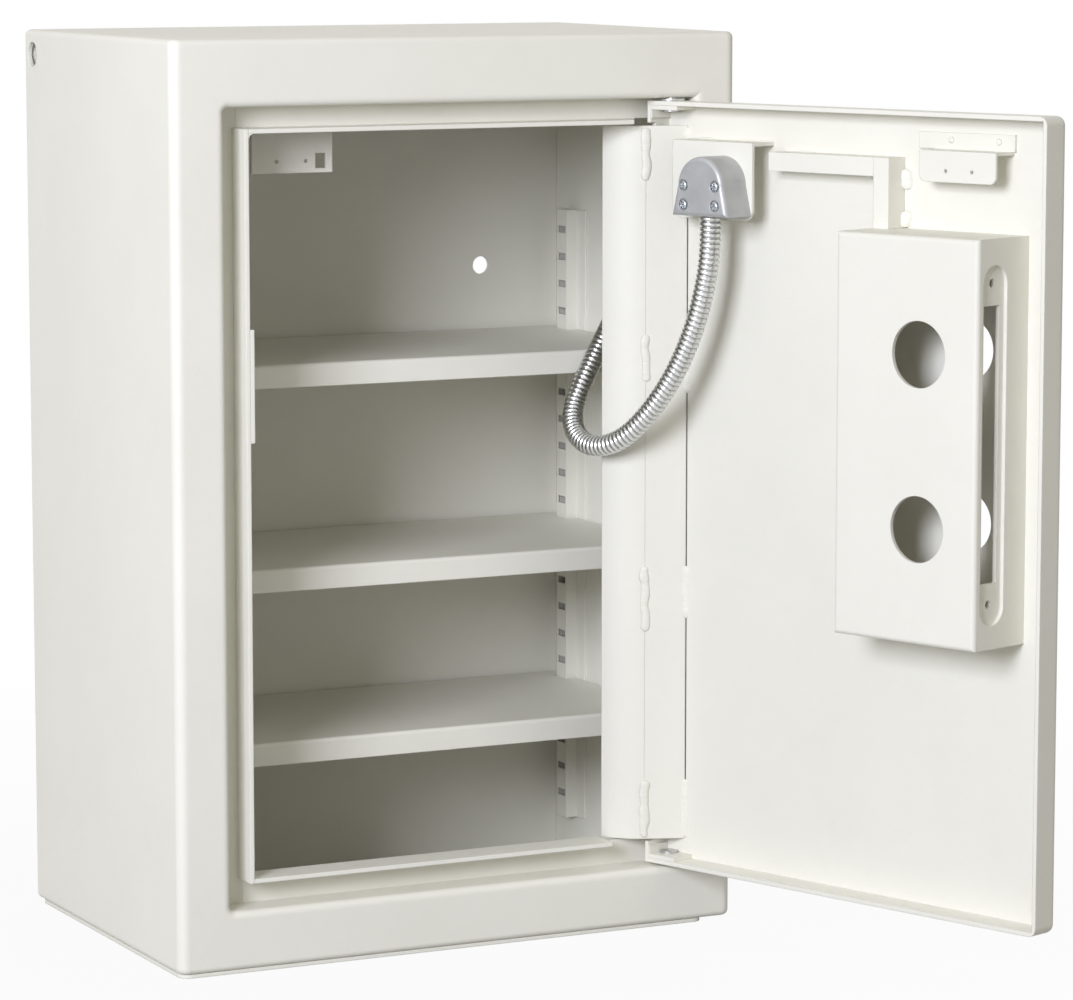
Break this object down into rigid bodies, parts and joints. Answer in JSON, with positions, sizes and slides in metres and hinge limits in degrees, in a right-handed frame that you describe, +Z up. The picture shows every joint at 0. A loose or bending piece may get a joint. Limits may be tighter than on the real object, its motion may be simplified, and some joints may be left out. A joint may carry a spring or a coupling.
{
  "type": "security cabinet",
  "caption": "Wall-mounted white steel security cabinet with a hooked hinged door, lock box, cable loop and adjustable shelves.",
  "frame": {"origin": "middle of the cabinet's underside, on the surface that it stands on", "axes": "+X to the hinge side, seen from the front; +Y from the front to the back; +Z up"},
  "size_m": [0.4889, 0.5783, 0.62],
  "materials": {
    "white_coat": "off-white powder coat with slight orange peel",
    "bright_steel": "bright zinc-plated",
    "zinc_screw": "zinc-plated",
    "cast_cap": "grey die-cast",
    "ribbed_steel": "galvanised strip-wound"
  },
  "bodies": {
    "cabinet": {"body_shell": "white_coat", "back_panel": "white_coat", "base_plate": "white_coat", "rebate_left": "white_coat", "rebate_top": "white_coat", "rebate_bottom": "white_coat", "strike_plate": "white_coat", "cabinet_contact_bracket": "white_coat", "shelf_rail_rear_right": "white_coat", "shelf_rail_front_right": "white_coat", "shelf_rail_rear_left": "white_coat", "shelf_rail_front_left": "white_coat", "shelf_clips_upper": "bright_steel", "shelf_clips_middle": "bright_steel", "shelf_clips_lower": "bright_steel", "hinge_pin_upper": "bright_steel", "hinge_pin_lower": "bright_steel", "wall_cable_cap": "cast_cap", "wall_cap_screws": "zinc_screw", "conduit": "ribbed_steel"},
    "door": {"door_panel": "white_coat", "hook_web": "white_coat", "hook_flange": "white_coat", "hinge_plate_upper": "white_coat", "hinge_plate_lower": "white_coat", "hinge_bush_upper": "bright_steel", "hinge_bush_lower": "bright_steel", "cable_bracket": "white_coat", "door_cable_cap": "cast_cap", "door_cap_screws": "zinc_screw", "duct_horizontal": "white_coat", "duct_vertical": "white_coat", "door_contact_bracket": "white_coat", "lock_box": "white_coat", "lock_mounting_plate": "white_coat"},
    "shelf_upper": {"shelf_upper": "white_coat"},
    "shelf_middle": {"shelf_middle": "white_coat"},
    "shelf_lower": {"shelf_lower": "white_coat"}
  },
  "joints": [
    {"name": "door_hinge", "type": "hinge", "parent": "cabinet", "child": "door", "pos_m": [0.163, -0.126, 0.31], "axis": [0, 0, 1], "range_deg": [-109.5, 8], "deforming": ["conduit"]},
    {"name": "shelf_upper_lift", "type": "slide", "parent": "cabinet", "child": "shelf_upper", "axis": [0, 0, 1], "range_m": [0, 0.015]},
    {"name": "shelf_middle_lift", "type": "slide", "parent": "cabinet", "child": "shelf_middle", "axis": [0, 0, 1], "range_m": [0, 0.015]},
    {"name": "shelf_lower_lift", "type": "slide", "parent": "cabinet", "child": "shelf_lower", "axis": [0, 0, 1], "range_m": [0, 0.015]}
  ]
}
